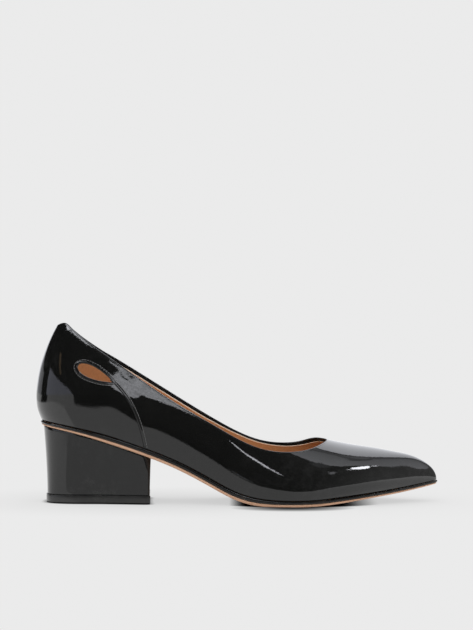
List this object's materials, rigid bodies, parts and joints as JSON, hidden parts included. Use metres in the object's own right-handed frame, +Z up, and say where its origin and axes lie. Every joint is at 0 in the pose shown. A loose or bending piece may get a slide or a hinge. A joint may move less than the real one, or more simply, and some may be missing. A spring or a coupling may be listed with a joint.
{
  "type": "court shoe",
  "caption": "Right-foot pointed court shoe in black patent leather with a teardrop cut-out in the outer quarter and a covered block heel.",
  "frame": {"origin": "middle of the shoe's box on the floor that it stands on", "axes": "+X towards the toe, +Y towards the inner side of the foot, +Z up"},
  "size_m": [0.2506, 0.0787, 0.1111],
  "materials": {
    "patent_leather": "black patent leather, mirror gloss, tan lining",
    "insole_leather": "tan leather, satin",
    "rand_leather": "black covered edge, gloss",
    "sole_leather": "light tan sole leather, satin",
    "heel_cover": "black patent leather over a moulded block, mirror gloss",
    "top_piece": "dark rubber, satin"
  },
  "bodies": {
    "root": {"upper": "patent_leather", "insole": "insole_leather", "rand": "rand_leather", "outsole": "sole_leather", "heel": "heel_cover", "top_piece": "top_piece"}
  },
  "joints": []
}
